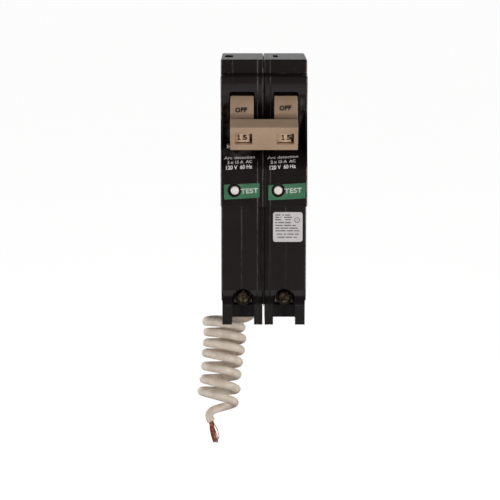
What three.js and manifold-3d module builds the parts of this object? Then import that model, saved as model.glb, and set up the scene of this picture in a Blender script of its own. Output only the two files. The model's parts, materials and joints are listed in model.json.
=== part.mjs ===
// Two-pole plug-on arc-fault circuit breaker: two 3/4 in modules side by side,
// joined by a handle tie, with a coiled neutral pigtail.
// Millimetres, +Z towards the line end, -Y towards the operator, +X to the
// operator's right. Origin: on the back plane, between the poles, at mid length.
import * as THREE from 'three';
import { mergeVertices } from 'three/addons/utils/BufferGeometryUtils.js';
import Module from 'manifold-3d';
const wasm = await Module();
wasm.setup();

// ---------------------------------------------------------------- dimensions
const HALF_W = 18.95;          // outer side faces of the pair
const HALF_GAP = 0.15;         // half the gap between the poles
const WALL = 1.8;              // perimeter wall of the mouldings
const SIDE_WALL = 1.6;         // flat side of the outer case
const SEAM_UP = 13.65;         // |x| of the outer case edge above the escutcheon
const SEAM_LOW = 9.85;         // |x| of the outer case edge below the step
const SEAM_IN = 2.6;           // |x| of the inner cover's face
const SEAM_GAP = 0.2;          // parting gap between mouldings
const FRONT_TOP = -47.5;       // line-end shoulder
const FRONT_LOW = -43.2;       // flat below the step
const PLATEAU = -59.2;         // flat that carries the test button
const STEP_Z = -3.5;           // underside of the plateau
const LEG_FRONT = -39;         // front of the legs beside the terminal bay
const POLE_X = 9.55;           // centre of each pole
const PIVOT = [-45.4, 37.45];  // handle axis (y, z)
const DRUM_R = 11;             // drum of the handle
const HANDLE_W = 10.2;         // width of the handle
const LEVER_T = 4.0;           // half thickness of the lever
const LEVER_END = 19.9;        // end face of the lever, from the axis
const OFF_ANGLE = 30;          // lever below horizontal when off
const TIE = { w: 29.3, back: 14.9, front: 21.5, half: 6.0, wall: 1.7, face: 1.3 };
const BAY = { x0: 4.3, x1: 14.2, top: -42.8, back: -32 };
const SCREW = [-9.25, -47.4];  // terminal screw axis (x, z) in the left pole
const BUTTON_X = [-12.7, 6.2]; // test button axis, left and right pole
const BUTTON_Z = 3.8;
const CORD_D = 3.9;            // pigtail diameter
const RIVETS = [[-6, 55], [-50, 12.3], [-5, -38.5], [-37.6, -38.2]];
const DEG = Math.PI / 180;

// Outside of a pole seen from the side, (y, z).
const PROFILE = [
  [0, 59.6], [-0.4, 60], [-47.1, 60], [-47.5, 59.6], [FRONT_TOP, 53.9],
  [-55.8, 53.5], [-56.2, 53.0], [-55.9, 50], [-55, 46.4], [-53, 41], [-50.2, 35.5],
  [-48.4, 30], [-47.6, 25.5], [-47.9, 23.9], [-49, 22.3], [-52, 20], [-57, 16.1], [-58.7, 14.5],
  [PLATEAU, 13], [PLATEAU, -3.1], [-58.8, STEP_Z], [FRONT_LOW, STEP_Z - 0.2],
  [FRONT_LOW, -43.5], [-42.4, -46.5], [-39.6, -49.8], [LEG_FRONT, -51], [LEG_FRONT, -60],
  [-14, -60], [-14, -53], [0, -53],
];
// Main chamber, one wall inside the outside.
const CHAMBER = [
  [-WALL, 58.2], [-45.7, 58.2], [-45.7, 52.1], [-54.3, 51.5], [-53.2, 46], [-51.2, 40.6],
  [-48.4, 34.9], [-46.6, 29.8], [-45.8, 25.4], [-46.2, 23.2], [-47.6, 21], [-50.9, 18.6],
  [-55.8, 14.9], [-57.1, 13.6], [-57.4, 12.5], [-57.4, -1.7], [-41.4, -1.9], [-41.4, -41],
  [-30.2, -41], [-14.6, -41], [-14.6, -43], [-WALL, -43],
];
const LOW_CHAMBER = [[-WALL, STEP_Z + 1], [-41.4, STEP_Z + 1], [-41.4, -41], [-30.2, -41], [-14.6, -41], [-14.6, -43], [-WALL, -43]];
// Front wall of the escutcheon, the part of the outer case that spans the pole.
const ESCUTCHEON = [
  [-55, 46.4], [-53, 41], [-50.2, 35.5], [-48.4, 30], [-47.6, 25.5], [-47.9, 23.9], [-49, 22.3],
  [-52, 20], [-57, 16.1], [-58.7, 14.5], [PLATEAU, 13], [PLATEAU, -3.1], [-58.8, STEP_Z], [-57.4, STEP_Z],
  [-57.4, 12.5], [-57.1, 13.6], [-55.8, 14.9], [-50.9, 18.6], [-47.6, 21], [-46.2, 23.2], [-45.8, 25.4],
  [-46.6, 29.8], [-48.4, 34.9], [-51.2, 40.6], [-53.2, 46.4],
];

// ------------------------------------------------------------------- helpers
// closed geometry -> manifold solid
const solid = (g) => {
  let q = g.clone();
  q.deleteAttribute('normal');
  q.deleteAttribute('uv');
  q = mergeVertices(q, 1e-4);
  return new wasm.Manifold(new wasm.Mesh({
    numProp: 3,
    vertProperties: new Float32Array(q.attributes.position.array),
    triVerts: new Uint32Array(q.index.array),
  }));
};
// manifold solid -> geometry; side -1 mirrors it across x = 0
const geometry = (m, side = 1) => {
  const k = m.getMesh();
  const p = new Float32Array(k.vertProperties);
  const t = new Uint32Array(k.triVerts);
  if (side < 0) {
    for (let i = 0; i < p.length; i += 3) p[i] = -p[i];
    for (let i = 0; i < t.length; i += 3) [t[i + 1], t[i + 2]] = [t[i + 2], t[i + 1]];
  }
  const g = new THREE.BufferGeometry();
  g.setAttribute('position', new THREE.BufferAttribute(p, 3));
  g.setIndex(new THREE.BufferAttribute(t, 1));
  g.computeVertexNormals();
  return g;
};
const join = (a, ...b) => b.reduce((s, q) => s.add(q), a);
const cut = (a, ...b) => b.reduce((s, q) => s.subtract(q), a);
const shape = (pts) => new THREE.Shape(pts.map(([a, b]) => new THREE.Vector2(a, b)));
const extrude = (pts, depth) => new THREE.ExtrudeGeometry(shape(pts), { depth, bevelEnabled: false, curveSegments: 1 });
const basis = (X, Y, Z) => new THREE.Matrix4().makeBasis(new THREE.Vector3(...X), new THREE.Vector3(...Y), new THREE.Vector3(...Z));
// prism of a (y, z) outline from x0 to x1
const prismX = (pts, x0, x1) => solid(extrude(pts, x1 - x0).applyMatrix4(basis([0, 1, 0], [0, 0, 1], [1, 0, 0])).translate(x0, 0, 0));
// prism of an (x, z) outline from y0 to y1
const prismY = (pts, y0, y1) => solid(extrude(pts, y1 - y0).applyMatrix4(basis([1, 0, 0], [0, 0, 1], [0, -1, 0])).translate(0, y1, 0));
// prism of an (x, y) outline from z0 to z1
const prismZ = (pts, z0, z1) => solid(extrude(pts, z1 - z0).translate(0, 0, z0));
const box = (x0, x1, y0, y1, z0, z1) => solid(new THREE.BoxGeometry(x1 - x0, y1 - y0, z1 - z0)
  .translate((x0 + x1) / 2, (y0 + y1) / 2, (z0 + z1) / 2));
// round bars along each axis
const barX = (x0, x1, y, z, r, n = 20) => solid(new THREE.CylinderGeometry(r, r, x1 - x0, n).rotateZ(Math.PI / 2).translate((x0 + x1) / 2, y, z));
const barY = (y0, y1, x, z, r, n = 24) => solid(new THREE.CylinderGeometry(r, r, y1 - y0, n).translate(x, (y0 + y1) / 2, z));
const barZ = (z0, z1, x, y, r, n = 20) => solid(new THREE.CylinderGeometry(r, r, z1 - z0, n).rotateX(Math.PI / 2).translate(x, y, (z0 + z1) / 2));
const paint = (color, roughness, metalness = 0) => new THREE.MeshStandardMaterial({ color, roughness, metalness });
const named = (name, g, material) => {
  const m = new THREE.Mesh(g, material.clone());
  m.name = name;
  return m;
};

const BLACK = paint(0x111112, 0.3);
const TAN = paint(0xb79f7c, 0.5);
const COPPER = paint(0xb56a3c, 0.35, 1);
const STEEL = paint(0x9c9a94, 0.35, 1);
const BRASS = paint(0xb08d57, 0.35, 1);
const TIN = paint(0xc4c2ba, 0.3, 1);
const WHITE = paint(0xe9e6dd, 0.45);
const GREEN = paint(0x0f6a4b, 0.45);
const PVC = paint(0xd8cdbb, 0.45);
const BOARD = paint(0x2d5a3a, 0.6);
const PAPER = paint(0xe4e5e6, 0.55);
const FIBRE = paint(0x6a3f2a, 0.7);

const product = new THREE.Group();
product.name = 'breaker';

// ----------------------------------------------------------------- mouldings
// All three mouldings are drawn for the left pole and mirrored for the right.
const bayCut = () => {
  const r = (BAY.x1 - BAY.x0) / 2, cx = -(BAY.x0 + BAY.x1) / 2, cz = BAY.top - r, pts = [[cx - r, -62]];
  pts.push([cx + r, -62]);
  for (let i = 0; i <= 14; i++) pts.push([cx + r * Math.cos(i / 14 * Math.PI), cz + r * Math.sin(i / 14 * Math.PI)]);
  return prismY(pts, -50, BAY.back);
};
const lugWindow = box(-13.6, -5.0, -33, -29, -52, -43);
const lugChamber = box(-14.6, -3.9, -30.2, -14.6, -55.9, -40.5);
const legGap = box(-BAY.x1, -BAY.x0, -40, -13, -62, -57.7);
const wirePort = box(-12.4, -6.3, -25, -18.8, -58, -55);
const jawPort = box(-13.9, -5.1, -3, 1, 42.6, 52.6);
const railNotch = prismX([[1, -44.5], [-5.8, -44.5], [-5.8, -50.2], [-2.2, -50.2], [-2.2, -49.0], [1, -49.0]], -20, 0);
const handleSlot = box(-POLE_X - HANDLE_W / 2 - 0.3, -POLE_X + HANDLE_W / 2 + 0.3, -62, -40, 25.8, 46.4);
const pigtailBore = solid(new THREE.CylinderGeometry(2.25, 2.25, 16, 20).rotateX(Math.PI / 2)
  .translate(-3.6, -9.5, -50.2));
// The right edge of each pole steps in a little beside the legs.
const sideRelief = box(-20, -HALF_W + 0.35, -45, 1, -61, -48.5);
const innerRelief = box(-0.5, 0, -45, 1, -61, -50.5);
const rivetHoles = (m) => RIVETS.reduce((s, [y, z]) => cut(s, barX(-25, 1, y, z, 1.62, 12)), m);
const rivetSinks = (m) => RIVETS.reduce((s, [y, z]) => cut(s, barX(-20, -HALF_W + 1.1, y, z, 2.7, 16)), m);

const lowProfile = [[0, STEP_Z - 0.2], [FRONT_LOW, STEP_Z - 0.2], ...PROFILE.slice(22)];

const outerCase = (side) => {
  let m = join(
    prismX(PROFILE, -HALF_W, -SEAM_UP),
    prismX(ESCUTCHEON, -SEAM_UP - 0.5, -SEAM_IN - SEAM_GAP),
    prismX(lowProfile, -SEAM_UP - 0.5, -SEAM_LOW),
  );
  m = cut(m, prismX(CHAMBER, -HALF_W + SIDE_WALL, -SEAM_UP + 0.01), prismX(LOW_CHAMBER, -SEAM_UP - 0.6, -SEAM_LOW + 1));
  m = join(m, barX(-HALF_W + 0.5, -14.95, ...PIVOT, 3.4, 20));       // seat of the handle trunnion
  m = cut(m, barX(-16.6, -14, ...PIVOT, 2.1, 20));
  m = cut(m, lugChamber, bayCut(), lugWindow, legGap, wirePort, jawPort, railNotch, handleSlot, sideRelief);
  return rivetSinks(rivetHoles(cut(m, buttonBore(side))));
};
// Round well and guide bore of the test button, in left-pole coordinates.
const buttonBore = (side) => {
  const x = side > 0 ? BUTTON_X[0] : -BUTTON_X[1];
  return join(barY(-61, PLATEAU + 0.9, x, BUTTON_Z, 2.7), barY(-60, -50, x, BUTTON_Z, 2.15));
};
const midFrame = (side) => {
  let m = prismX(PROFILE, -SEAM_UP + SEAM_GAP, -SEAM_IN - SEAM_GAP);
  m = cut(m,
    prismX([[-62, 46.6], [-53.0, 46.6], ...ESCUTCHEON.slice(13).reverse().map(([y, z]) => [y + 0.2, z]), [-57.2, STEP_Z - 0.2], [-62, STEP_Z - 0.2]].filter((p, i, a) => !i || p[0] !== a[i - 1][0] || p[1] !== a[i - 1][1]), -15, -2),
    box(-15, -SEAM_LOW + SEAM_GAP, -62, 2, -62, STEP_Z),
    prismX(CHAMBER, -15, -2));
  m = join(m, box(-7.6, -6.4, -42, -1, -42, -4.6));                 // partition beside the electronics
  m = cut(m, lugChamber, bayCut(), lugWindow, legGap, wirePort, jawPort, railNotch, handleSlot);
  if (side > 0) m = cut(m, pigtailBore);
  return rivetHoles(m);
};
const innerCover = (side) => {
  let m = prismX(PROFILE, -SEAM_IN, -HALF_GAP);
  m = join(m, barX(-4.15, -SEAM_IN + 0.5, ...PIVOT, 3.4, 20));
  m = cut(m, barX(-4.6, -2.0, ...PIVOT, 2.1, 20), barX(-5, 1, -30, 8, 1.8, 20), railNotch, innerRelief);
  if (side > 0) m = cut(m, pigtailBore);
  return rivetHoles(m);
};

// ----------------------------------------------------------- handle and tie
// Drawn with the lever along -Y and the axis at the origin.
const arc = (a0, a1, r, n) => Array.from({ length: n + 1 }, (_, i) => {
  const a = (a0 + (a1 - a0) * i / n) * DEG;
  return [-r * Math.cos(a), r * Math.sin(a)];
});
const handleSolid = () => {
  const body = prismX([
    ...arc(80, 30, DRUM_R, 8), [-10.5, 4.75], [-11.6, 4.2], [-13, LEVER_T],
    [-LEVER_END + 0.4, LEVER_T], [-LEVER_END, LEVER_T - 0.4], [-LEVER_END, -LEVER_T + 0.4], [-LEVER_END + 0.4, -LEVER_T],
    ...arc(-21.3, -108, DRUM_R, 14), [2.4, -6], [3.6, -2], [3.6, 2], [1.4, 3.8],
  ], -HANDLE_W / 2, HANDLE_W / 2);
  return join(body, barX(-6.6, 6.6, 0, 0, 1.8, 20));
};
const tieSolid = () => {
  const { w, back, front, half, wall, face } = TIE;
  let m = prismX([[-back, half], [-front + 0.5, half], [-front, half - 0.5], [-front, -half + 0.5],
    [-front + 0.5, -half], [-back, -half]], -w / 2, w / 2);
  const inner = half - wall;
  m = cut(m,
    box(-w / 2 - 1, -4.15, -front + face, -10, -inner, inner),
    box(4.15, w / 2 + 1, -front + face, -10, -inner, inner),
    box(-2.65, 2.65, -front + face, -10, -inner, inner),
    box(-12.46, -5.15, -30, -18, -2.95, 2.75),
    box(5.55, 12.88, -30, -18, -2.95, 2.75),
    barX(-20, 20, -19.95, -4.85, 0.85, 12));
  return m;
};
const toggle = new THREE.Group();
toggle.position.set(0, ...PIVOT);
toggle.rotation.x = OFF_ANGLE * DEG;
for (const [name, x] of [['handle_left', -POLE_X], ['handle_right', POLE_X]]) {
  const h = named(name, geometry(handleSolid()), TAN);
  h.position.x = x;
  toggle.add(h);
}
toggle.add(named('handle_tie', geometry(tieSolid()), TAN));
toggle.add(named('tie_pin', geometry(join(barX(-15.5, 14.4, -19.95, -4.85, 0.55, 10),
  box(-16.1, -14.95, -20.8, -19.1, -5.7, -4.0))), STEEL));
product.add(toggle);

// -------------------------------------------------------- inside each pole
const ARM_PIVOT = [-28, 34];
const ARM_OPEN = 18;             // contact arm swing
const CRADLE_PIVOT = [-24, 26];
const TRIP_BAR = [-30, 8];
const disc = (y0, y1, x, z, r) => barY(y0, y1, x, z, r, 16);

const lineJaw = () => join(
  prismX([[-1.2, 46.2], [-1.2, 45.0], [-14.4, 45.0], [-14.4, 54.0], [-19.6, 54.0], [-19.6, 47.5], [-20.8, 47.5],
    [-20.8, 55.2], [-13.2, 55.2], [-13.2, 50.0], [-1.2, 50.0], [-1.2, 48.8], [-13.2, 48.8], [-13.2, 46.2]], -13, -6),
  disc(-21.6, -20.5, -9.5, 49.5, 1.8));
// Drawn closed about its own axis; the group turns it open.
const contactArm = () => join(
  prismX([[-1.5, -1.5], [1.5, -1.5], [2.7, 6], [5.1, 12.5], [5.1, 18], [3.1, 18], [2.8, 13], [0, 6.5]], -11.1, -7.9),
  disc(5.0, 6.0, -9.5, 15.5, 1.5));
const toggleSpring = () => {
  // close-wound coil with two hook ends
  const pts = [];
  for (let i = 0; i <= 10; i++) pts.push([1.0 + (i % 2) * 0.4, -4 + i * 0.8]);
  const prof = [new THREE.Vector2(0, -5.2), new THREE.Vector2(0.5, -5.2), new THREE.Vector2(0.5, -4),
    ...pts.map(([r, h]) => new THREE.Vector2(r, h)), new THREE.Vector2(0.5, 4), new THREE.Vector2(0.5, 5.2), new THREE.Vector2(0, 5.2)];
  return solid(new THREE.LatheGeometry(prof, 10).rotateX(Math.PI / 2).translate(-6.2, -2.6, 2.5));
};
const cradle = () => prismX([[-1.8, 1.8], [1.8, 1.8], [1.8, -1.6], [-10.2, -13.4], [-13.2, -12.8], [-12.6, -10.2], [-10, -9.6]], -14.4, -12.9);
const bimetal = () => box(-10.3, -7.3, -12.2, -11.3, 1, 27);
const yoke = () => prismZ([[-12.6, -14.5], [-11.2, -14.5], [-11.2, -9.9], [-6.4, -9.9], [-6.4, -14.5], [-5.0, -14.5],
  [-5.0, -8.5], [-12.6, -8.5]], 8, 17);
const armature = () => prismX([[-0.8, 0.6], [0.8, 0.6], [0.5, -15.8], [-0.5, -15.8]], -12.2, -5.4);
const arcChute = () => {
  const pts = [[-43, 57.7], [-43, 52.8]];
  for (let i = 0; i < 6; i++) {
    const y = -43 + i * 3.6;
    pts.push([y + 1, 52.8], [y + 1, 56.9]);
    if (i < 5) pts.push([y + 3.6, 56.9], [y + 3.6, 52.8]);
  }
  pts.push([-24, 57.7]);
  return prismX(pts, -13.6, -5.4);
};
const tube = (pts, r, steps, n = 8, closed = false) => {
  const s = new THREE.Shape(Array.from({ length: n }, (_, i) => new THREE.Vector2(r * Math.cos(i / n * 2 * Math.PI), r * Math.sin(i / n * 2 * Math.PI))));
  const path = new THREE.CatmullRomCurve3(pts.map((p) => new THREE.Vector3(...p)), closed);
  return new THREE.ExtrudeGeometry(s, { steps, bevelEnabled: false, extrudePath: path });
};
const braid = () => solid(tube([[-9, -24.0, 33.4], [-9, -20, 31.2], [-9, -15.5, 30.6], [-9, -11.8, 28.5]], 1.0, 8));
const loadStrap = () => join(
  box(-12.6, -10.2, -13.2, -12.0, -39.6, 0.5),
  box(-12.6, -7.4, -13.2, -12.0, -1.2, 0.5),
  box(-12.6, -10.2, -25.5, -12.0, -40.2, -39.0),
  box(-11.7, -7.9, -25.5, -24.1, -50.5, -39.0));
const loadLug = () => cut(box(-13.2, -5.3, -29.5, -17, -51.5, -43.3),
  box(-12.0, -6.5, -27.5, -18.8, -53, -42), barY(-31, -26, ...SCREW, 2.25, 20));
const terminalScrew = () => cut(join(
  barY(-38.4, -36.2, 0, 0, 2.9, 24), barY(-36.4, -26.0, 0, 0, 1.9, 16), barY(-36.3, -35.4, 0, 0, 4.0, 24)),
box(-0.45, 0.45, -40, -37.2, -4, 4));
const testButton = () => join(barY(-60.0, -55.5, 0, 0, 1.82, 24), barY(-56.6, -55.4, 0, 0, 2.7, 24), barY(-55.6, -52.2, 0, 0, 1.2, 12));
const testContact = (x) => prismX([[-50.2, 8.6], [-50.2, 0], [-49.6, 0], [-49.6, 8.0], [-43, 8.0], [-43, 8.6]], x - 1, x + 1);
const board = () => join(box(-5.4, -4.2, -39.5, -4, -34, -6), box(-4.4, -3.3, -36, -27, -18, -9),
  box(-4.4, -3.3, -22, -12, -30, -22), box(-4.4, -3.5, -20, -14, -16, -10));
const solenoid = () => cut(join(barZ(-23, -10, -13, -25, 3.3, 18), barZ(-24, -22.8, -13, -25, 3.9, 18), barZ(-10.2, -9, -13, -25, 3.9, 18)),
  barZ(-20, -8, -13, -25, 1.55, 14));
const plunger = () => join(barZ(-18, 4.9, -13, -25, 1.2, 12), barZ(-6.2, -5, -13, -25, 2.2, 14));
const sensor = () => {
  const ring = [[1.75, -4], [3.3, -4], [3.6, -3.6], [3.6, 3.6], [3.3, 4], [1.75, 4]].map(([a, b]) => new THREE.Vector2(a, b));
  ring.push(ring[0].clone());
  return solid(new THREE.LatheGeometry(ring, 20).rotateX(Math.PI / 2).translate(-11.4, -12.6, -16));
};

for (const [tag, side] of [['left', 1], ['right', -1]]) {
  const pole = new THREE.Group();
  pole.name = 'pole_' + tag;
  const add = (name, m, material) => pole.add(named(`${name}_${tag}`, geometry(m, side), material));
  add('outer_case', outerCase(side), BLACK);
  add('mid_frame', midFrame(side), BLACK);
  add('inner_cover', innerCover(side), BLACK);
  add('line_jaw', lineJaw(), COPPER);
  add('arc_chute', arcChute(), STEEL);
  add('bimetal', bimetal(), STEEL);
  add('magnet_yoke', yoke(), STEEL);
  add('braid', braid(), COPPER);
  add('load_strap', loadStrap(), COPPER);
  add('load_lug', loadLug(), TIN);
  add('circuit_board', board(), BOARD);
  add('trip_solenoid', solenoid(), FIBRE);
  add('solenoid_plunger', plunger(), STEEL);
  add('current_sensor', sensor(), FIBRE);

  // contact arm and its spring, shown open
  const arm = new THREE.Group();
  arm.position.set(0, ...ARM_PIVOT);
  arm.rotation.x = ARM_OPEN * DEG;
  arm.add(named(`contact_arm_${tag}`, geometry(contactArm(), side), COPPER));
  arm.add(named(`toggle_spring_${tag}`, geometry(toggleSpring(), side), STEEL));
  pole.add(arm);
  // latched cradle
  const latch = named(`cradle_${tag}`, geometry(cradle(), side), STEEL);
  latch.position.set(0, ...CRADLE_PIVOT);
  pole.add(latch);
  const flap = named(`armature_${tag}`, geometry(armature(), side), STEEL);
  flap.position.set(0, -16.8, 24);
  pole.add(flap);

  const screw = named(`terminal_screw_${tag}`, geometry(terminalScrew()), BRASS);
  screw.position.set(side * SCREW[0], 0, SCREW[1]);
  screw.rotation.y = (side > 0 ? 0 : 40) * DEG;
  pole.add(screw);

  const bx = side > 0 ? BUTTON_X[0] : BUTTON_X[1];
  const button = named(`test_button_${tag}`, geometry(testButton()), WHITE);
  button.position.set(bx, 0, BUTTON_Z);
  pole.add(button);
  pole.add(named(`test_contact_${tag}`, geometry(testContact(bx)), COPPER));

  // adhesive test label with a hole for the button, slightly out of true
  const band = side > 0 ? [[-17.4, 6.3], [-17.4, -0.3], [-1.95, 0.6], [-1.95, 7.0]] : [[1.9, 6.1], [1.9, -0.6], [18.1, 0.3], [18.1, 7.1]];
  const label = cut(prismY(band, PLATEAU - 0.45, PLATEAU - 0.3), barY(-61, -58, bx, BUTTON_Z, 2.8, 28));
  pole.add(named(`test_label_${tag}`, geometry(label), GREEN));
  product.add(pole);
}

// --------------------------------------------------------------- shared parts
// Common trip bar: a rod through both inner covers with two fins in each pole.
const fins = (s) => {
  const f = [
    prismX([[-31, 8.8], [-31, 6.9], [-37.4, 10.6], [-36.9, 11.9]], -14.6, -12.5),
    prismX([[-29, 8.9], [-29, 6.6], [-23, 5.7], [-23, 6.9]], -14.2, -11.6),
  ];
  return s > 0 ? f : f.map((m) => solid(geometry(m, -1)));
};
product.add(named('trip_bar', geometry(join(barX(-16.8, 16.8, ...TRIP_BAR, 1.4, 16), ...fins(1), ...fins(-1))), FIBRE));

RIVETS.forEach(([y, z], i) => product.add(named(`rivet_${i + 1}`, geometry(join(
  barX(-18.5, 18.5, y, z, 1.3, 12), barX(-18.75, -18.2, y, z, 2.3, 16), barX(18.2, 18.75, y, z, 2.3, 16))), STEEL)));

product.add(named('rating_label', geometry(box(4.15, 17.35, FRONT_LOW - 0.45, FRONT_LOW - 0.3, -21.4, -8.0)), PAPER));

// ------------------------------------------------------------------- pigtail
// Neutral lead: leaves the load end of the left pole, winds into a close coil,
// and ends in a stripped, stranded tip.
const leadPts = [[-3.6, -9.5, -44]];
for (let i = 0; i <= 5; i++) {
  const a = i / 5 * 62 * DEG;
  leadPts.push([-3.6 - 8 * (1 - Math.cos(a)), -9.5 + 0.8 * i / 5, -53 - 8 * Math.sin(a)]);
}
product.add(named('pigtail_lead', geometry(solid(tube(leadPts, CORD_D / 2, 8))), PVC));
const COIL_TOP = new THREE.Vector3(-18.3, -11, -61.2), COIL_END = new THREE.Vector3(-20.9, -11, -102.6);
const coilAxis = COIL_END.clone().sub(COIL_TOP);
const coil = new THREE.Mesh(new THREE.CylinderGeometry(10.2, 10.2, coilAxis.length(), 20), PVC.clone());
coil.name = 'pigtail_coil';
coil.position.copy(COIL_TOP).addScaledVector(coilAxis, 0.5);
coil.quaternion.setFromUnitVectors(new THREE.Vector3(0, -1, 0), coilAxis.clone().normalize());
product.add(coil);
product.add(named('pigtail_tail', geometry(solid(tube([[-16.2, -8.6, -105.6], [-19.5, -8.8, -107.0], [-23, -9.2, -108.6],
  [-25, -9.6, -110.6], [-24.9, -10, -112.6]], CORD_D / 2, 7))), PVC));
product.add(named('pigtail_strands', geometry(solid(tube([[-24.75, -10.05, -113.0], [-23.9, -10.2, -117.5], [-22.6, -10.3, -122.6]], 1.35, 4))), COPPER));

export default product;
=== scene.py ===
import bpy, bmesh, json, math, random
from mathutils import Matrix, Vector


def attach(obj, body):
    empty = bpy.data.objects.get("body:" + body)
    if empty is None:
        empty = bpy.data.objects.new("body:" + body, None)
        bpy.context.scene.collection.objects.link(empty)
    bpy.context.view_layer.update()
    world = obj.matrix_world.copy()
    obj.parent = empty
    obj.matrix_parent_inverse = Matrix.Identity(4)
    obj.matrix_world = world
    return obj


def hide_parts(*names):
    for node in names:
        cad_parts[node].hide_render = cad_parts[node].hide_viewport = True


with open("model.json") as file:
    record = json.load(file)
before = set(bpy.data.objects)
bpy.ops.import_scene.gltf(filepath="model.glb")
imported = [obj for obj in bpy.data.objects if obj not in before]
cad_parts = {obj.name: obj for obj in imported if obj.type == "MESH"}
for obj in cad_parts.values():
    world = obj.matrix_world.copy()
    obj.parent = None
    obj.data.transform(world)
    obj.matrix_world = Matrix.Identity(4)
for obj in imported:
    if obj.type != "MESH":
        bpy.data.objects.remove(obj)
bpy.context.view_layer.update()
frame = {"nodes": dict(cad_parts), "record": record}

MM = 0.001
DEG = math.pi / 180
scene = bpy.context.scene
COL = scene.collection
NODES = frame["nodes"]


def link(ob):
    COL.objects.link(ob)
    return ob


# ------------------------------------------------------------------- camera
cam = bpy.data.cameras.new("main_camera")
cam.sensor_width = 36.0
cam.lens = 139.5
cam.clip_start = 0.02
cam.clip_end = 400.0
cam_ob = link(bpy.data.objects.new("main_camera", cam))
cam_ob.location = (-0.0061, -0.8975, 0.1125)
cam_ob.rotation_euler = (80.85 * DEG, 0, 0)
scene.camera = cam_ob
scene.view_settings.view_transform = "Standard"


# ---------------------------------------------------------------- materials
class Mat:
    """Small builder for a procedural material."""

    def __init__(self, name):
        self.m = bpy.data.materials.new(name)
        self.m.use_nodes = True
        self.t = self.m.node_tree
        self.t.nodes.clear()
        self.out = self.t.nodes.new("ShaderNodeOutputMaterial")
        self.b = self.t.nodes.new("ShaderNodeBsdfPrincipled")
        self.t.links.new(self.b.outputs[0], self.out.inputs[0])
        self.co = self.t.nodes.new("ShaderNodeTexCoord").outputs["Object"]
        self.height = None

    def n(self, kind, **kw):
        q = self.t.nodes.new(kind)
        for k, v in kw.items():
            setattr(q, k, v)
        return q

    def l(self, a, b):
        self.t.links.new(a, b)

    def set(self, **kw):
        for k, v in kw.items():
            self.b.inputs[k.replace("_", " ")].default_value = v
        return self

    def stretch(self, x, y, z):
        q = self.n("ShaderNodeMapping")
        q.inputs["Scale"].default_value = (x, y, z)
        self.l(self.co, q.inputs["Vector"])
        return q.outputs[0]

    def noise(self, scale, detail=3.0, rough=0.5, co=None, distortion=0.0):
        q = self.n("ShaderNodeTexNoise")
        q.inputs["Scale"].default_value = scale
        q.inputs["Detail"].default_value = detail
        q.inputs["Roughness"].default_value = rough
        q.inputs["Distortion"].default_value = distortion
        self.l(co if co is not None else self.co, q.inputs["Vector"])
        return q.outputs["Fac"]

    def ramp(self, fac, stops, interp="LINEAR"):
        q = self.n("ShaderNodeValToRGB")
        e = q.color_ramp.elements
        q.color_ramp.interpolation = interp
        while len(e) > 1:
            e.remove(e[0])
        e[0].position = stops[0][0]
        e[0].color = (*stops[0][1], 1)
        for p, c in stops[1:]:
            x = e.new(p)
            x.color = (*c, 1)
        self.l(fac, q.inputs[0])
        return q.outputs[0]

    def remap(self, fac, a, b, c, d):
        q = self.n("ShaderNodeMapRange")
        for i, v in enumerate((a, b, c, d)):
            q.inputs[i + 1].default_value = v
        self.l(fac, q.inputs[0])
        return q.outputs[0]

    def mix(self, fac, a, b, mode="MIX"):
        q = self.n("ShaderNodeMix", data_type="RGBA", blend_type=mode)
        for sock, v in ((q.inputs[0], fac), (q.inputs[6], a), (q.inputs[7], b)):
            if isinstance(v, (int, float)):
                sock.default_value = v
            elif isinstance(v, tuple):
                sock.default_value = (*v, 1)
            else:
                self.l(v, sock)
        return q.outputs[2]

    def math(self, op, a, b=None, c=None):
        q = self.n("ShaderNodeMath", operation=op)
        for i, v in enumerate((a, b, c)):
            if v is None:
                continue
            if isinstance(v, (int, float)):
                q.inputs[i].default_value = v
            else:
                self.l(v, q.inputs[i])
        return q.outputs[0]

    def xyz(self):
        q = self.n("ShaderNodeSeparateXYZ")
        self.l(self.co, q.inputs[0])
        return q.outputs

    def color(self, out):
        self.l(out, self.b.inputs["Base Color"])
        return self

    def rough(self, out):
        self.l(out, self.b.inputs["Roughness"])
        return self

    def bump(self, *layers, edge=0.0):
        """layers are (height, distance in metres, strength); edge is a radius for softened corners."""
        normal = None
        if edge:
            q = self.n("ShaderNodeBevel", samples=4)
            q.inputs["Radius"].default_value = edge
            normal = q.outputs[0]
        for h, dist, strength in layers:
            q = self.n("ShaderNodeBump")
            q.inputs["Distance"].default_value = dist
            q.inputs["Strength"].default_value = strength
            self.l(h, q.inputs["Height"])
            if normal is not None:
                self.l(normal, q.inputs["Normal"])
            normal = q.outputs[0]
        if normal is not None:
            self.l(normal, self.b.inputs["Normal"])
        return self


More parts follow.
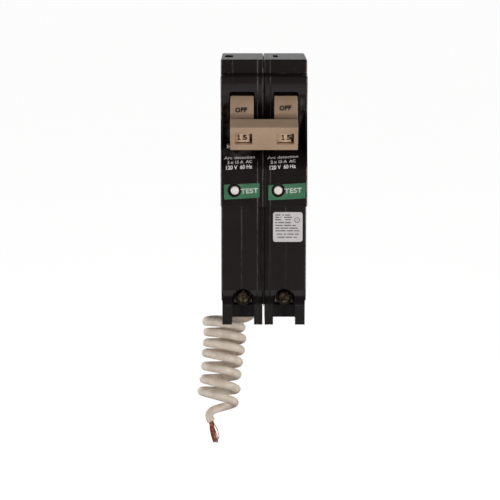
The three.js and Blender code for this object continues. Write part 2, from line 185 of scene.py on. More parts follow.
def make_case():
    # moulded black phenolic: orange peel, faint flow clouds, rubbed edges, dust
    k = Mat("phenolic_black")
    cloud = k.noise(70, 3)
    k.set(Specular_IOR_Level=0.28, IOR=1.5)
    y = k.xyz()[1]
    # painted shade: the faces standing forward of the set-back front get a darker black, standing in for their darker
    # reflection
    forward_shade_mask = k.remap(y, -0.0490, -0.0475, 1.0, 0.0)
    flat = k.ramp(cloud, [(0.3, (0.0096, 0.0060, 0.0060)), (0.7, (0.0140, 0.0090, 0.0090))])
    up = k.ramp(cloud, [(0.3, (0.0046, 0.0026, 0.0025)), (0.7, (0.0078, 0.0047, 0.0045))])
    base = k.mix(forward_shade_mask, flat, up)
    dust = k.ramp(k.noise(2600, 2, 0.6), [(0.69, (0, 0, 0)), (0.76, (1, 1, 1))])
    base = k.mix(k.math("MULTIPLY", dust, 0.30), base, (0.12, 0.105, 0.095))
    geo = k.n("ShaderNodeNewGeometry")
    soft = k.n("ShaderNodeBevel")
    soft.samples = 4
    soft.inputs["Radius"].default_value = 0.00030
    turn = k.n("ShaderNodeVectorMath")
    turn.operation = "DOT_PRODUCT"
    k.l(soft.outputs["Normal"], turn.inputs[0])
    k.l(geo.outputs["True Normal"], turn.inputs[1])
    wear = k.remap(turn.outputs["Value"], 0.90, 0.98, 1.0, 0.0)
    wear = k.math("MULTIPLY", wear, k.ramp(k.noise(420, 3), [(0.42, (0, 0, 0)), (0.62, (1, 1, 1))]))
    base = k.mix(k.math("MULTIPLY", wear, 0.4), base, (0.10, 0.088, 0.084))
    # painted highlights along the parting lines and the long corners of the front, broken up by noise
    x, yy, z = k.xyz()
    highlight_breakup = k.ramp(k.noise(900, 3, 0.6, co=k.stretch(1, 1, 0.35)), [(0.36, (0.12, 0.12, 0.12)), (0.60, (1, 1, 1))])
    facing = k.remap(yy, -0.0375, -0.0385, 0.0, 1.0)
    for x0, w, z0, z1, amount in (
        (-0.01866, 0.00022, -0.060, 0.060, 0.55), (-0.00982, 0.00016, -0.0428, -0.0042, 0.75), (-0.01364, 0.00014, 0.0540, 0.0600, 0.65),
        (-0.00280, 0.00024, -0.060, 0.060, 0.62), (-0.00048, 0.00020, -0.045, 0.056, 0.50), (0.00280, 0.00018, -0.050, 0.060, 0.34),
        (0.00986, 0.00014, -0.0428, -0.0042, 0.30), (0.01866, 0.00024, 0.0262, 0.060, 0.62), (0.01866, 0.00024, -0.0425, 0.0140, 0.80),
        (0.01866, 0.00020, -0.060, -0.0425, 0.40),
    ):
        near = k.remap(k.math("ABSOLUTE", k.math("SUBTRACT", x, x0)), w * 0.45, w, 1.0, 0.0)
        inside = k.math("MULTIPLY", k.remap(z, z0 - 0.0006, z0, 0.0, 1.0), k.remap(z, z1, z1 + 0.0006, 1.0, 0.0))
        line = k.math("MULTIPLY", k.math("MULTIPLY", near, inside), k.math("MULTIPLY", k.math("MULTIPLY", highlight_breakup, facing), amount))
        base = k.mix(line, base, (0.300, 0.262, 0.255))
    # painted shade on the lower front just under the plateau overhang
    under_plateau_shade = k.math("MULTIPLY", k.remap(z, -0.0150, -0.0045, 1.0, 0.0), k.remap(yy, -0.0420, -0.0405, 1.0, 0.0))
    base = k.mix(k.math("MULTIPLY", under_plateau_shade, 0.45), base, (0.0050, 0.0030, 0.0030))
    # painted shade: everything below the lower front, over the stepped-back legs and the terminal bay, darkened
    base = k.mix(k.remap(z, -0.0455, -0.0430, 0.6, 0.0), base, (0.0045, 0.0032, 0.0032))
    k.color(base)
    nz = k.n("ShaderNodeSeparateXYZ")
    k.l(geo.outputs["Normal"], nz.inputs[0])
    top = k.remap(nz.outputs[2], 0.90, 0.97, 0.0, 0.14)
    k.rough(k.math("ADD", k.remap(k.noise(900, 4), 0.3, 0.7, 0.35, 0.42), top))
    k.bump((k.noise(1300, 2), 0.00002, 0.25), (k.noise(5200, 2), 0.000008, 0.35), edge=0.00022)
    return k.m


def make_tan(f=1.0, name="thermoset_tan"):
    # satin thermoset of the handles and the tie, handled at the edges
    k = Mat(name)
    cloud = k.noise(110, 4, 0.55)
    c = k.ramp(cloud, [(0.28, (0.395 * f, 0.272 * f, 0.182 * f)), (0.5, (0.445 * f, 0.308 * f, 0.208 * f)), (0.75, (0.485 * f, 0.34 * f, 0.235 * f))])
    speck = k.ramp(k.noise(3400, 2), [(0.64, (0, 0, 0)), (0.70, (1, 1, 1))])
    c = k.mix(k.math("MULTIPLY", speck, 0.25), c, (0.26, 0.17, 0.105))
    smear = k.ramp(k.noise(260, 3, co=k.stretch(0.35, 1, 1)), [(0.56, (0, 0, 0)), (0.78, (1, 1, 1))])
    c = k.mix(k.math("MULTIPLY", smear, 0.22), c, (0.30, 0.21, 0.145))
    if f < 1:
        # painted shade: a darker band low on the drum, where it meets the lever
        zz = k.xyz()[2]
        c = k.mix(k.remap(zz, 0.0362, 0.0374, 0.75, 0.0), c, (0.215, 0.142, 0.100))
    k.color(c)
    k.set(Specular_IOR_Level=0.35)
    k.rough(k.remap(k.noise(600, 3), 0.3, 0.7, 0.42, 0.58))
    k.bump((k.noise(2800, 3), 0.00002, 0.4), (k.noise(380, 2), 0.00004, 0.25), edge=0.0002)
    return k.m


def make_metal(name, a, b, rough, streak, tarnish_and_shade=None, amount=0.3):
    k = Mat(name)
    c = k.ramp(k.noise(520, 4), [(0.3, a), (0.7, b)])
    if tarnish_and_shade:
        c = k.mix(k.math("MULTIPLY", k.ramp(k.noise(170, 4), [(0.45, (0, 0, 0)), (0.68, (1, 1, 1))]), amount), c, tarnish_and_shade)
    k.color(c)
    k.set(Metallic=1.0)
    k.rough(k.remap(k.noise(900, 3, co=k.stretch(*streak)), 0.3, 0.7, rough - 0.08, rough + 0.12))
    k.bump((k.noise(2400, 2, co=k.stretch(*streak)), 0.00001, 0.5), edge=0.00012)
    return k.m


def make_plain(name, a, b, rough, spec=0.4, scale=300, bump=0.00002, speck=None, edge=0.00015):
    k = Mat(name)
    c = k.ramp(k.noise(scale, 4), [(0.3, a), (0.7, b)])
    if speck:
        c = k.mix(k.math("MULTIPLY", k.ramp(k.noise(scale * 9, 2), [(0.62, (0, 0, 0)), (0.70, (1, 1, 1))]), 0.4), c, speck)
    k.color(c)
    k.set(Specular_IOR_Level=spec)
    k.rough(k.remap(k.noise(scale * 2.2, 3), 0.3, 0.7, rough - 0.06, rough + 0.08))
    k.bump((k.noise(scale * 8, 3), bump, 0.4), edge=edge)
    return k.m


def make_pvc():
    # off-white insulation: slight waxy glow, extrusion lines, handling smudges
    k = Mat("pvc_ivory")
    c = k.ramp(k.noise(240, 4), [(0.3, (0.55, 0.465, 0.385)), (0.5, (0.66, 0.57, 0.48)), (0.72, (0.75, 0.66, 0.57))])
    grime = k.ramp(k.noise(95, 5, 0.62), [(0.56, (0, 0, 0)), (0.74, (1, 1, 1))])
    c = k.mix(k.math("MULTIPLY", grime, 0.45), c, (0.43, 0.37, 0.31))
    # two faint pink smudges on the coil
    sep = k.xyz()
    for x0, z0, amount in ((-0.0215, -0.0865, 0.45), (-0.0235, -0.0905, 0.3), (-0.0245, -0.0925, 0.25)):
        dx = k.math("SUBTRACT", sep[0], x0)
        dz = k.math("SUBTRACT", sep[2], z0)
        d = k.math("SQRT", k.math("ADD", k.math("MULTIPLY", dx, dx), k.math("MULTIPLY", dz, dz)))
        front = k.remap(sep[1], -0.014, -0.011, 1.0, 0.0)
        spot = k.math("MULTIPLY", k.remap(d, 0.0004, 0.0022, amount, 0.0), front)
        spot = k.math("MULTIPLY", spot, k.ramp(k.noise(900, 3), [(0.35, (0, 0, 0)), (0.6, (1, 1, 1))]))
        c = k.mix(spot, c, (0.62, 0.28, 0.24))
    k.color(c)
    k.set(Specular_IOR_Level=0.32)
    k.b.inputs["Subsurface Weight"].default_value = 0.12
    k.b.inputs["Subsurface Radius"].default_value = (0.0012, 0.0008, 0.0005)
    k.b.inputs["Subsurface Scale"].default_value = 1.0
    k.rough(k.remap(k.noise(420, 3), 0.3, 0.7, 0.44, 0.60))
    k.bump((k.noise(1500, 3), 0.00003, 0.45), (k.noise(260, 2), 0.00008, 0.35))
    return k.m


def make_strand():
    k = Mat("copper_strand")
    c = k.ramp(k.noise(900, 4), [(0.28, (0.12, 0.034, 0.018)), (0.5, (0.26, 0.088, 0.055)), (0.75, (0.50, 0.23, 0.15))])
    k.color(c)
    k.set(Metallic=0.85)
    k.rough(k.remap(k.noise(700, 3), 0.3, 0.7, 0.30, 0.50))
    k.bump((k.noise(3000, 2), 0.00001, 0.4))
    return k.m


def make_label_green():
    # printed film, slightly uneven ink
    k = Mat("film_green")
    c = k.ramp(k.noise(260, 4), [(0.3, (0.036, 0.142, 0.074)), (0.55, (0.054, 0.174, 0.093)), (0.78, (0.080, 0.196, 0.112))])
    c = k.mix(k.math("MULTIPLY", k.ramp(k.noise(2600, 2), [(0.6, (0, 0, 0)), (0.7, (1, 1, 1))]), 0.3), c, (0.10, 0.20, 0.15))
    k.color(c)
    k.set(Specular_IOR_Level=0.4)
    k.rough(k.remap(k.noise(500, 3), 0.3, 0.7, 0.36, 0.52))
    k.bump((k.noise(1200, 2), 0.00002, 0.4))
    return k.m


CASE = make_case()
TAN = make_tan()
# darker copy of the tan for the drums, with a band of painted shade low down
TAN_DRUM = make_tan(0.80, "thermoset_tan_darker_band_shade")
COPPER = make_metal("copper_dull", (0.52, 0.24, 0.13), (0.74, 0.40, 0.25), 0.38, (1, 1, 0.2), (0.22, 0.10, 0.07))
STEEL = make_metal("steel_plated", (0.46, 0.45, 0.43), (0.60, 0.59, 0.56), 0.36, (0.2, 1, 1), (0.25, 0.22, 0.18), 0.25)
# dark brass for the terminal screws: its darkness is painted shade of the terminal bay, with tarnish patches
BRASS_BAY_SHADE = make_metal("brass_bay_shade", (0.022, 0.016, 0.010), (0.20, 0.150, 0.102), 0.30, (1, 1, 1), (0.025, 0.018, 0.012), 0.8)
TIN = make_metal("tin_plated", (0.50, 0.49, 0.46), (0.66, 0.65, 0.62), 0.34, (1, 1, 0.3), (0.3, 0.27, 0.22), 0.25)
WHITE = make_plain("nylon_white", (0.80, 0.735, 0.705), (0.90, 0.835, 0.81), 0.42, 0.45, 300, speck=(0.55, 0.50, 0.46))
RIVET = make_metal("steel_rivet", (0.11, 0.105, 0.10), (0.20, 0.19, 0.18), 0.5, (1, 1, 1), (0.06, 0.05, 0.045), 0.5)
# near-black steel for the screw washers: painted shade of the terminal bay
DARK_STEEL = make_metal("steel_bay_shade", (0.020, 0.016, 0.013), (0.045, 0.037, 0.030), 0.42, (1, 1, 1), (0.012, 0.009, 0.008), 0.6)
GREEN = make_label_green()
PAPER = make_plain("film_white", (0.59, 0.555, 0.555), (0.67, 0.635, 0.635), 0.5, 0.35, 240, 0.00001, speck=(0.58, 0.55, 0.55), edge=0)
INK_WHITE = make_plain("ink_white", (0.56, 0.55, 0.53), (0.80, 0.80, 0.78), 0.5, 0.3, 1400, 0.00001, edge=0)
INK_GREEN_WHITE = make_plain("ink_pale", (0.46, 0.54, 0.48), (0.70, 0.74, 0.68), 0.5, 0.3, 1400, 0.00001, edge=0)
INK_DARK = make_plain("ink_black", (0.010, 0.008, 0.007), (0.022, 0.017, 0.014), 0.5, 0.3, 900, 0.00001, edge=0)
INK_BROWN = make_plain("ink_brown", (0.020, 0.010, 0.005), (0.040, 0.018, 0.008), 0.5, 0.3, 900, 0.00001, edge=0)
INK_GREY = make_plain("ink_grey", (0.10, 0.09, 0.088), (0.26, 0.24, 0.235), 0.5, 0.3, 1600, 0.00001, edge=0)
BOARD = make_plain("board_green", (0.012, 0.075, 0.028), (0.022, 0.11, 0.045), 0.35, 0.5, 400, speck=(0.12, 0.16, 0.06))
FIBRE = make_plain("fibre_brown", (0.10, 0.038, 0.020), (0.19, 0.078, 0.042), 0.68, 0.25, 350, 0.00006, speck=(0.28, 0.14, 0.08))
PVC = make_pvc()
STRAND = make_strand()
# paler copy of the tan: painted light for the shaded window floors
TAN_PAINTED_LIGHT = make_tan(1.32, "thermoset_tan_painted_light")
SLOTS = {
    "case_black": CASE, "handle_tan": TAN, "copper": COPPER, "steel": STEEL, "brass": BRASS_BAY_SHADE, "tinned": TIN,
    "button_white": WHITE, "label_green": GREEN, "label_white": PAPER, "board_green": BOARD, "fibre": FIBRE, "pvc_white": PVC,
}
# every carried-over node takes its slot's procedural material
for sub in frame["record"]["subparts"]:
    o = NODES.get(sub["node"])
    if o is not None:
        mats = o.data.materials
        if len(mats) == 0:
            mats.append(SLOTS[sub["material_slot"]])
        for i in range(len(mats)):
            mats[i] = RIVET if sub["node"].startswith("rivet") else SLOTS[sub["material_slot"]]


# --------------------------------------------------------------- mesh tools
def finish_mesh(name, bm, body, mat, smooth=38, weighted=True, place=None, replaces=()):
    """bm is in millimetres. Makes the piece, shades it, places it and rides it."""
    if place is not None:
        bmesh.ops.transform(bm, matrix=place, verts=bm.verts)
    bmesh.ops.scale(bm, vec=(MM, MM, MM), verts=bm.verts)
    bmesh.ops.recalc_face_normals(bm, faces=bm.faces)
    for f in bm.faces:
        f.smooth = True
    lim = smooth * DEG
    for e in bm.edges:
        e.smooth = e.calc_face_angle(0.0) < lim
    me = bpy.data.meshes.new(name)
    bm.to_mesh(me)
    bm.free()
    me.materials.append(mat)
    ob = link(bpy.data.objects.new(name, me))
    if weighted:
        w = ob.modifiers.new("weighted", "WEIGHTED_NORMAL")
        w.keep_sharp = True
        w.weight = 90
    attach(ob, body)
    if replaces:
        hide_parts(*replaces)
    return ob


def fillet(pts, r=0.4, seg=4, per=None):
    """Rounds the corners of a closed 2D outline; per gives other radii by index."""
    out = []
    n = len(pts)
    for i in range(n):
        p0, p, p1 = Vector(pts[i - 1]), Vector(pts[i]), Vector(pts[(i + 1) % n])
        a, b = p0 - p, p1 - p
        la, lb = a.length, b.length
        a.normalize()
        b.normalize()
        ang = a.angle(b)
        rr = (per or {}).get(i, r)
        t = rr / math.tan(ang / 2) if ang > 1e-3 else 0
        t = min(t, la * 0.48, lb * 0.48)
        if rr <= 0 or ang > 176 * DEG or t < 0.01:
            out.append((p.x, p.y))
            continue
        rad = t * math.tan(ang / 2)
        c = p + (a + b).normalized() * (rad / math.sin(ang / 2))
        s, e = p + a * t, p + b * t
        a0 = math.atan2(s.y - c.y, s.x - c.x)
        a1 = math.atan2(e.y - c.y, e.x - c.x)
        d = (a1 - a0 + math.pi) % (2 * math.pi) - math.pi
        k = max(2, int(math.ceil(abs(d) / (math.pi / 2) * seg)) + 1)
        for j in range(k + 1):
            q = a0 + d * j / k
            out.append((c.x + rad * math.cos(q), c.y + rad * math.sin(q)))
    return out


def inset(pts, d):
    """Moves a closed outline inwards by d."""
    n = len(pts)
    area = sum(pts[i - 1][0] * pts[i][1] - pts[i][0] * pts[i - 1][1] for i in range(n))
    sgn = 1 if area > 0 else -1
    out = []
    for i in range(n):
        p0, p, p1 = Vector(pts[i - 1]), Vector(pts[i]), Vector(pts[(i + 1) % n])
        e0, e1 = (p - p0), (p1 - p)
        if e0.length < 1e-6 or e1.length < 1e-6:
            out.append(tuple(p))
            continue
        e0.normalize()
        e1.normalize()
        n0, n1 = Vector((-e0.y, e0.x)) * sgn, Vector((-e1.y, e1.x)) * sgn
        m = (n0 + n1)
        if m.length < 1e-6:
            m = n0
        m.normalize()
        k = max(0.5, m.dot(n0))
        q = p + m * (d / k)
        out.append((q.x, q.y))
    return out


def clean(pts, tol=0.004):
    out = []
    for p in pts:
        if not out or (Vector(p) - Vector(out[-1])).length > tol:
            out.append(p)
    if (Vector(out[0]) - Vector(out[-1])).length <= tol:
        out.pop()
    return out


AX = {
    "x": lambda a, p: (a, p[0], p[1]),
    "y": lambda a, p: (p[0], a, p[1]),
    "z": lambda a, p: (p[0], p[1], a),
}


def sweep(pts, a0, a1, r0=0.0, r1=0.0, axis="x", seg=3, bm=None):
    """Prism of a closed outline along an axis, with rounded ends."""
    pts = clean(pts)
    bm = bm or bmesh.new()
    put = AX[axis]
    rows = []
    if r0 > 0:
        for k in range(seg + 1):
            a = k / seg * math.pi / 2
            rows.append((a0 + r0 * (1 - math.cos(a)), r0 * (1 - math.sin(a))))
    else:
        rows.append((a0, 0))
    if r1 > 0:
        for k in range(seg, -1, -1):
            a = k / seg * math.pi / 2
            rows.append((a1 - r1 * (1 - math.cos(a)), r1 * (1 - math.sin(a))))
    else:
        rows.append((a1, 0))
    rings = [[bm.verts.new(put(a, p)) for p in (inset(pts, d) if d > 1e-6 else pts)] for a, d in rows]
    n = len(pts)
    for u, v in zip(rings, rings[1:]):
        for i in range(n):
            bm.faces.new((u[i - 1], u[i], v[i], v[i - 1]))
    caps = [bm.faces.new(rings[0]), bm.faces.new(list(reversed(rings[-1])))]
    bmesh.ops.triangulate(bm, faces=caps, ngon_method="EAR_CLIP")
    bmesh.ops.recalc_face_normals(bm, faces=bm.faces)
    return bm


def circle(cx, cy, r, n=32, a0=0.0, a1=2 * math.pi):
    full = abs(a1 - a0) > 2 * math.pi - 1e-6
    return [(cx + r * math.cos(a0 + (a1 - a0) * i / (n if full else n - 1)),
             cy + r * math.sin(a0 + (a1 - a0) * i / (n if full else n - 1))) for i in range(n)]


def rect(x0, x1, y0, y1):
    return [(x0, y0), (x1, y0), (x1, y1), (x0, y1)]


def block(x0, x1, y0, y1, z0, z1, axis="x"):
    if axis == "x":
        return sweep(rect(y0, y1, z0, z1), x0, x1)
    return sweep(rect(x0, x1, z0, z1), y0, y1, axis="y")


def bar(axis, a0, a1, c0, c1, r, n=32, r0=0.0, r1=0.0):
    return sweep(circle(c0, c1, r, n), a0, a1, r0, r1, axis=axis)


def temp(bm):
    me = bpy.data.meshes.new("tmp")
    bm.to_mesh(me)
    bm.free()
    return link(bpy.data.objects.new("tmp", me))


def boolean(bm, cuts=(), adds=()):
    """Exact joins and cuts, in millimetres."""
    base = temp(bm)
    tools = []
    for kind, group in (("UNION", adds), ("DIFFERENCE", cuts)):
        for g in group:
            t = temp(g)
            tools.append(t)
            m = base.modifiers.new("b", "BOOLEAN")
            m.operation = kind
            m.object = t
            m.solver = "MANIFOLD"
    dg = bpy.context.evaluated_depsgraph_get()
    out = bmesh.new()
    out.from_mesh(base.evaluated_get(dg).to_mesh())
    for o in tools + [base]:
        me = o.data
        bpy.data.objects.remove(o)
        bpy.data.meshes.remove(me)
    bmesh.ops.remove_doubles(out, verts=out.verts, dist=0.002)
    bmesh.ops.dissolve_degenerate(out, dist=0.001, edges=out.edges)
    bmesh.ops.dissolve_limit(out, angle_limit=0.3 * DEG, verts=out.verts, edges=out.edges)
    big = [f for f in out.faces if len(f.verts) > 4]
    bmesh.ops.triangulate(out, faces=big, ngon_method="BEAUTY")
    return out


def merge(*bms):
    out = bms[0]
    for b in bms[1:]:
        me = bpy.data.meshes.new("tmp")
        b.to_mesh(me)
        b.free()
        out.from_mesh(me)
        bpy.data.meshes.remove(me)
    return out


def lettering(text, w, h, shear=0.0, bold=0.0, thick=0.05, spacing=1.0, slices=0):
    """Letters as a solid, w wide and h high overall, centred, in the x-z plane facing -y."""
    cu = bpy.data.curves.new("tmp", "FONT")
    cu.body = text
    cu.size = 10
    cu.shear = shear
    cu.offset = bold
    cu.extrude = 0.5
    cu.space_character = spacing
    cu.resolution_u = 4
    ob = link(bpy.data.objects.new("tmp", cu))
    dg = bpy.context.evaluated_depsgraph_get()
    me = ob.evaluated_get(dg).to_mesh()
    bm = bmesh.new()
    bm.from_mesh(me)
    bpy.data.objects.remove(ob)
    bpy.data.curves.remove(cu)
    xs = [v.co.x for v in bm.verts]
    ys = [v.co.y for v in bm.verts]
    x0, x1, y0, y1 = min(xs), max(xs), min(ys), max(ys)
    for v in bm.verts:
        x = ((v.co.x - x0) / (x1 - x0) - 0.5) * w
        z = ((v.co.y - y0) / (y1 - y0) - 0.5) * h
        v.co = Vector((x, -thick if v.co.z > 0 else 0.0, z))
    # rows of cuts let the letters follow a curved face
    for i in range(1, slices):
        zc = (i / slices - 0.5) * h
        bmesh.ops.bisect_plane(bm, geom=bm.verts[:] + bm.edges[:] + bm.faces[:], dist=1e-5, plane_co=(0, 0, zc), plane_no=(0, 0, 1))
    return bm


def moved(bm, *mats):
    m = Matrix.Identity(4)
    for q in mats:
        m = m @ q
    bmesh.ops.transform(bm, matrix=m, verts=bm.verts)
    return bm


T = Matrix.Translation


def R(a, ax):
    return Matrix.Rotation(a * DEG, 4, ax)


# ------------------------------------------------------------------ pigtail
AXIS_Y = -11.0
COIL_R = 8.25
LEFT = [(-26.64, -64.05), (-26.09, -69.04), (-26.49, -74.09), (-26.97, -78.9), (-27.28, -85.27), (-28.0, -91.45), (-28.91, -97.21)]
RIGHT = [(-10.13, -66.81), (-9.67, -72.23), (-10.38, -77.72), (-11.27, -83.45), (-11.93, -89.39), (-12.41, -96.3), (-13.31, -102.75)]


def pigtail_points():
    lobes = []
    for a, b in zip(LEFT, RIGHT):
        lobes += [a, b]
    pts = []
    # out of the bore, straight down, then over to the back of the coil
    for z in (-46.0, -47.5, -49.0, -50.5, -52.0, -53.2):
        pts.append(Vector((-3.6, -9.5, z)))
    n = 10
    c0 = Vector((-3.6, -9.5, -53.2))
    lean = math.tan(15.5 * DEG)
    c3 = Vector((lobes[0][0], AXIS_Y, lobes[0][1]))
    # cubic from the bore to the first lobe, round the back of the coil
    ctrl = [c0, Vector((-3.6, -9.4, -62.8)), Vector((-6.4, -2.4, -65.0)), Vector((-18.4, -2.75, -64.9))]
    for i in range(1, n + 1):
        t = i / n
        pts.append(ctrl[0] * (1 - t) ** 3 + ctrl[1] * 3 * t * (1 - t) ** 2 + ctrl[2] * 3 * t * t * (1 - t) + ctrl[3] * t ** 3)
    # quarter turn from the back to the first left lobe
    m = 8
    for i in range(1, m + 1):
        a = i / m * math.pi / 2
        pts.append(Vector((-18.4 + (c3.x + 18.4) * math.sin(a), AXIS_Y + (-2.75 - AXIS_Y) * math.cos(a), -64.9 + (c3.z + 64.9) * math.sin(a))))
    per = 15
    half = []
    for i in range(len(lobes) - 1):
        if i + 2 < len(lobes):
            half.append((lobes[i][1] - lobes[i + 2][1]) / 2)
        else:
            half.append(half[-1])
    for i in range(len(lobes) - 1):
        a, b = lobes[i], lobes[i + 1]
        sgn = -1 if i % 2 == 0 else 1       # first half turn passes in front
        h = half[i]
        for j in range(1, per + 1):
            t = j / per
            c = math.cos(math.pi * t)
            x = (a[0] + b[0]) / 2 + (a[0] - b[0]) / 2 * c
            z = (a[1] + b[1]) / 2 + (a[1] - b[1] - h) / 2 * c + h * (0.5 - t)
            y = AXIS_Y + sgn * COIL_R * math.sin(math.pi * t)
            pts.append(Vector((x, y, z - (y - AXIS_Y) * lean)))
    # tail: round the back to the left, then turned down
    a = Vector((lobes[-1][0], AXIS_Y, lobes[-1][1]))
    for i in range(1, 8):
        q = i / 7 * math.pi / 2
        pts.append(Vector((a.x + (-18.6 - a.x) * (1 - math.cos(q)), AXIS_Y + 6.4 * math.sin(q), a.z - 1.9 * (q / (math.pi / 2)) ** 1.15 - 6.4 * math.sin(q) * lean)))
    last = pts[-1]
    prev = pts[-2]
    d = (last - prev).normalized()
    ctrl = [last, last + d * 3.0, Vector((-27.0, -8.4, -107.4)), Vector((-24.9, -9.75, -110.9))]
    for i in range(1, 9):
        t = i / 8
        pts.append(ctrl[0] * (1 - t) ** 3 + ctrl[1] * 3 * t * (1 - t) ** 2 + ctrl[2] * 3 * t * t * (1 - t) + ctrl[3] * t ** 3)
    pts.append(Vector((-24.35, -9.95, -112.1)))
    return pts


PIG = pigtail_points()
cu = bpy.data.curves.new("pigtail_insulation", "CURVE")
cu.dimensions = "3D"
cu.bevel_depth = 1.95 * MM
cu.bevel_resolution = 6
cu.use_fill_caps = True
sp = cu.splines.new("POLY")
sp.points.add(len(PIG) - 1)
for q, p in zip(sp.points, PIG):
    q.co = (p.x * MM, p.y * MM, p.z * MM, 1)
sp.use_smooth = True
cu.materials.append(PVC)
pigtail = link(bpy.data.objects.new("pigtail_insulation", cu))
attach(pigtail, "breaker_body")
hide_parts("pigtail_lead", "pigtail_coil", "pigtail_tail")


# stripped end: a slack rope of fine copper wires, a few of them stray
def wire(bm, pts, r, n=6):
    rings = []
    up = Vector((0, 1, 0))
    for i, p in enumerate(pts):
        d = (pts[min(i + 1, len(pts) - 1)] - pts[max(i - 1, 0)]).normalized()
        u = (up - d * up.dot(d)).normalized()
        v = d.cross(u)
        rings.append([bm.verts.new(p + (u * math.cos(2 * math.pi * k / n) + v * math.sin(2 * math.pi * k / n)) * r) for k in range(n)])
    for a, b in zip(rings, rings[1:]):
        for k in range(n):
            bm.faces.new((a[k - 1], a[k], b[k], b[k - 1]))
    bm.faces.new(rings[0])
    bm.faces.new(list(reversed(rings[-1])))


rng = random.Random(7)
S0, S1, S2 = Vector((-24.5, -9.9, -111.4)), Vector((-23.7, -10.1, -116.8)), Vector((-22.4, -10.3, -122.4))
bm = bmesh.new()
places = [(0.0, 0.0)] + [(0.52, k * 60 + 10) for k in range(6)] + [(1.02, k * 30) for k in range(12)]
for idx, (rad, ang) in enumerate(places):
    length = 1.0 - rng.random() * 0.12
    flare = 0.55 + rng.random() * 0.35
    pts = []
    for i in range(15):
        t = i / 14 * length
        c = S0 * (1 - t) ** 2 + S1 * 2 * t * (1 - t) + S2 * t * t
        a = (ang + t * 210 + rng.uniform(-5, 5)) * DEG
        rr = rad * (1.0 - 0.12 * math.sin(math.pi * t) + (flare - 0.5) * 0.55 * max(0, t - 0.55) * 2)
        pts.append(c + Vector((math.cos(a) * rr, math.sin(a) * rr, 0)) + Vector((rng.uniform(-0.03, 0.03), rng.uniform(-0.03, 0.03), 0)))
    wire(bm, pts, 0.235)
# stray wires
for pts in (
    [(-24.4, -10.6, -112.0), (-23.0, -11.2, -113.6), (-21.8, -11.7, -116.0), (-21.2, -11.8, -118.4), (-21.4, -11.6, -120.0), (-22.1, -11.4, -120.9)],
    [(-24.5, -10.6, -112.6), (-23.3, -11.3, -115.2), (-22.3, -11.7, -117.8), (-21.7, -11.7, -120.0), (-21.8, -11.6, -121.6)],
    [(-25.3, -10.6, -112.4), (-25.4, -11.0, -114.8), (-25.0, -11.2, -117.4), (-24.5, -11.2, -119.6)],
):
    v = [Vector(p) for p in pts]
    smooth_pts = []
    for i in range(len(v) - 1):
        p0, p1, p2, p3 = v[max(i - 1, 0)], v[i], v[i + 1], v[min(i + 2, len(v) - 1)]
        for j in range(4):
            t = j / 4
            smooth_pts.append(0.5 * ((2 * p1) + (p2 - p0) * t + (2 * p0 - 5 * p1 + 4 * p2 - p3) * t * t + (3 * p1 - p0 - 3 * p2 + p3) * t ** 3))
    smooth_pts.append(v[-1])
    wire(bm, [p + Vector((0.45, 0, 0)) for p in smooth_pts], 0.2)
strands = finish_mesh("pigtail_wires", bm, "breaker_body", STRAND, smooth=60, weighted=False, replaces=["pigtail_strands"])

# ---------------------------------------------------------------- mouldings
PROFILE = [
    (0, 60), (-47.5, 60), (-47.5, 53.9),
    (-56.2, 53.3), (-55.9, 50), (-55, 46.4), (-53, 41), (-50.2, 35.5),
    (-48.4, 30), (-47.6, 25.5), (-47.9, 23.9), (-49, 22.3), (-52, 20), (-57, 16.1), (-58.7, 14.5),
    (-59.2, 13), (-59.2, -3.5), (-43.2, -3.7),
    (-43.2, -43.5), (-42.4, -46.5), (-39.6, -49.8), (-39, -51), (-39, -60),
    (-14, -60), (-14, -53), (0, -53),
]
SMOOTH = {0: 0.5, 1: 0.7, 2: 0.25, 3: 0.5, 4: 6, 5: 12, 6: 14, 7: 14, 8: 12, 9: 5, 10: 2.6, 11: 3.0, 12: 8, 13: 3.5, 14: 2.2, 15: 1.6,
          16: 0.45, 17: 0.3, 18: 4.0, 19: 4.0, 20: 2.0, 21: 1.5, 22: 0.5, 23: 0.4, 24: 0.4, 25: 0.4}
OUTLINE = fillet(PROFILE, 0.4, 4, SMOOTH)
# inner face of the front wall, line end to step
WALL_IN = [(-45.7, 58.2), (-45.7, 52.1), (-54.3, 51.5), (-53.2, 46), (-51.2, 40.6), (-48.4, 34.9), (-46.6, 29.8), (-45.8, 25.4),
           (-46.2, 23.2), (-47.6, 21), (-50.9, 18.6), (-55.8, 14.9), (-57.1, 13.6), (-57.4, 12.5), (-57.4, -1.7)]
CHAMBER = [(-1.8, 58.2)] + WALL_IN + [(-41.4, -1.9), (-41.4, -41), (-30.2, -41), (-14.6, -41), (-14.6, -43), (-1.8, -43)]


def span(side, a, b):
    """Range of x given for the left pole, mirrored for the right one."""
    return (a, b) if side < 0 else (-b, -a)


def prism(side, pts, a, b, ra=0.0, rb=0.0):
    x0, x1 = span(side, a, b)
    r0, r1 = (ra, rb) if side < 0 else (rb, ra)
    return sweep(pts, x0, x1, r0, r1)


def bx(side, a, b, y0, y1, z0, z1):
    x0, x1 = span(side, a, b)
    return block(x0, x1, y0, y1, z0, z1)


def flipped(side, pts):
    return pts if side < 0 else [(-p[0], p[1]) for p in pts]


BX = {-1: -12.7, 1: 6.2}
BZ = 3.8
RIVETS = [(-6, 55), (-50, 12.3), (-5, -38.5), (-37.6, -38.2)]


def bay(side):
    r, cx, cz = 4.95, -9.25, -42.8 - 4.95
    pts = [(cx - r, -62), (cx + r, -62)] + [(cx + r * math.cos(i / 24 * math.pi), cz + r * math.sin(i / 24 * math.pi)) for i in range(25)]
    # arched opening of the terminal bay, cut straight in from the front
    return [sweep(flipped(side, pts), -50, -32, axis="y")]


